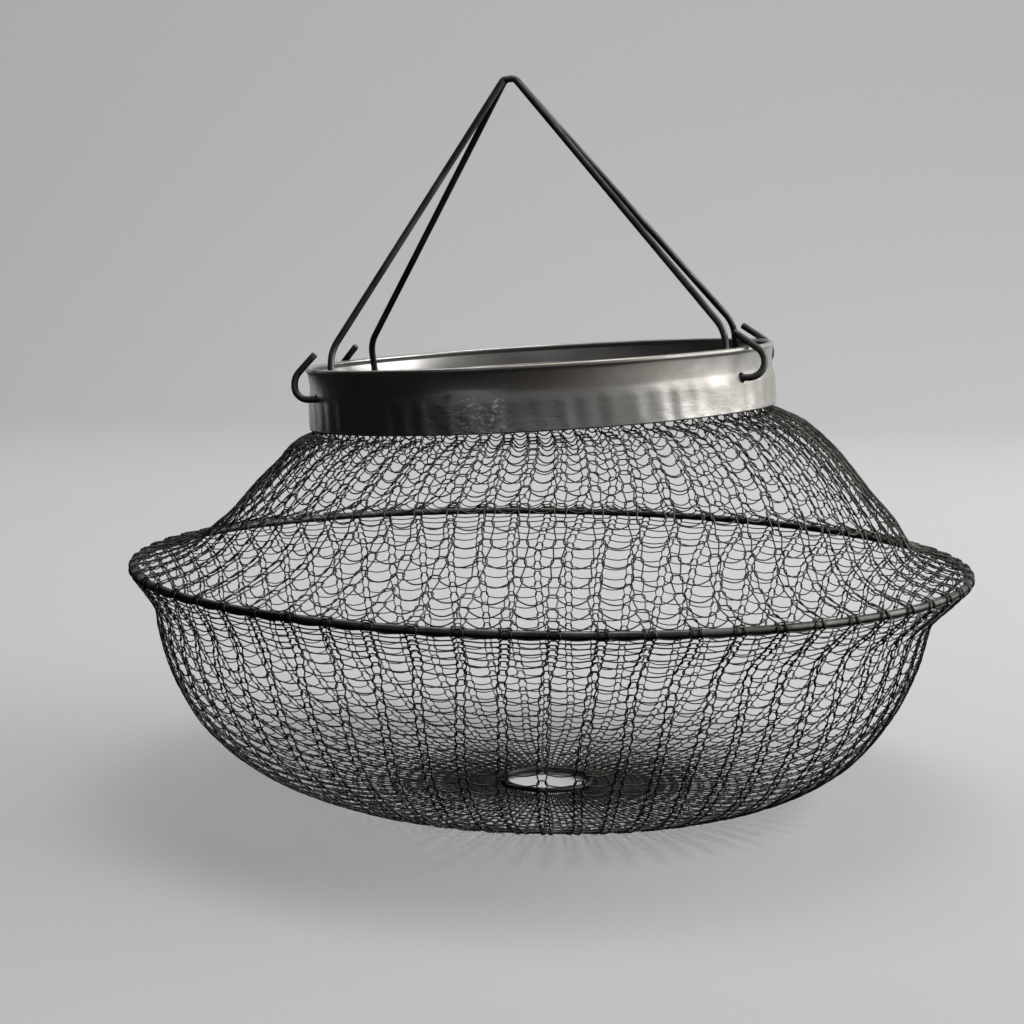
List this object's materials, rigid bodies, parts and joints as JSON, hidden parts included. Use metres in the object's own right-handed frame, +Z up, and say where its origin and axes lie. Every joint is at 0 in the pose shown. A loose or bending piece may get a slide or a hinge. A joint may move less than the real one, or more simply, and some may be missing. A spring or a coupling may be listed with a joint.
{
  "type": "wire onion basket",
  "caption": "Round basket of knitted wire net, spread by a wire hoop and hung from a sheet-metal collar with swinging wire bail handles.",
  "frame": {"origin": "middle of the base, on the surface that the basket stands on", "axes": "+Z up; the handles' hinge axes run along X, the front handle is on the -Y side, and the collar leans 4.1 degrees to -X"},
  "size_m": [0.3056, 0.3056, 0.2566],
  "materials": {
    "sheet_metal": "spun and brushed sheet steel, slightly dulled",
    "clamp_metal": "plain sheet steel",
    "net_wire": "dark oxidised knitted steel wire",
    "hoop_wire": "dark drawn steel wire",
    "handle_wire": "dark drawn steel wire, lightly polished"
  },
  "bodies": {
    "basket": {"collar_band": "sheet_metal", "clamp_band": "clamp_metal", "knitted_net": "net_wire", "hoop": "hoop_wire", "base_ring": "hoop_wire"},
    "front_handle": {"front_handle": "handle_wire"},
    "back_handle": {"back_handle": "handle_wire"}
  },
  "joints": [
    {"name": "front_handle_swing", "type": "hinge", "parent": "basket", "child": "front_handle", "pos_m": [-0.00442, -0.0378, 0.14807], "axis": [0.9974, 0, 0.0715], "range_deg": [0, 40]},
    {"name": "back_handle_swing", "type": "hinge", "parent": "basket", "child": "back_handle", "pos_m": [-0.00442, 0.0378, 0.14807], "axis": [-0.9974, 0, -0.0715], "range_deg": [0, 40]}
  ]
}
